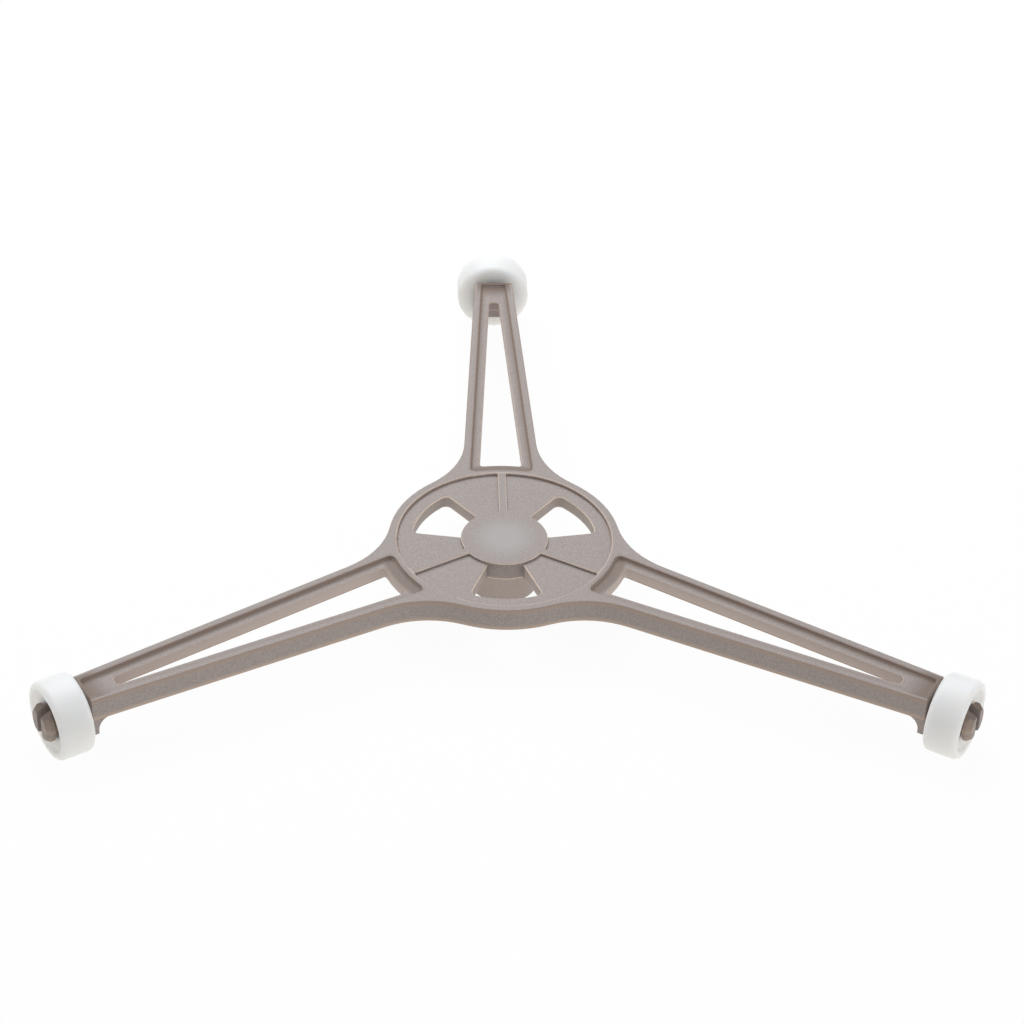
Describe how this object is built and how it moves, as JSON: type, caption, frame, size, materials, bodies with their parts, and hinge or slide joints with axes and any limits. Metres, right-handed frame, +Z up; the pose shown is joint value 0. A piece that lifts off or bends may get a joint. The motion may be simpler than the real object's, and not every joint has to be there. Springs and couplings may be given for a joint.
{
  "type": "turntable roller support",
  "caption": "Flat spider frame with a round hub and long tapered arms, each ending in a small roller clipped to its tip; it carries and turns an oven's glass tray.",
  "frame": {"origin": "on the hub's axis, in the mouth of the drive socket at the lower end of the hub's boss", "axes": "+Z up along the hub's axis, out of the frame's top face; +Y from the hub along the back arm; +X to the right"},
  "size_m": [0.1848, 0.1615, 0.016],
  "materials": {
    "frame_plastic": "matte taupe glass-filled moulding with a fine speckle",
    "roller_plastic": "satin off-white moulding"
  },
  "bodies": {
    "frame": {"spider_frame": "frame_plastic"},
    "back_roller": {"roller_back": "roller_plastic"},
    "left_roller": {"roller_left": "roller_plastic"},
    "right_roller": {"roller_right": "roller_plastic"}
  },
  "joints": [
    {"name": "back_roller_turn", "type": "hinge", "parent": "frame", "child": "back_roller", "pos_m": [0, 0.09897, 0.00654], "axis": [0, 1, 0], "continuous": true},
    {"name": "left_roller_turn", "type": "hinge", "parent": "frame", "child": "left_roller", "pos_m": [-0.08571, -0.04949, 0.00654], "axis": [-0.866, -0.5, 0], "continuous": true},
    {"name": "right_roller_turn", "type": "hinge", "parent": "frame", "child": "right_roller", "pos_m": [0.08571, -0.04949, 0.00654], "axis": [0.866, -0.5, 0], "continuous": true}
  ]
}
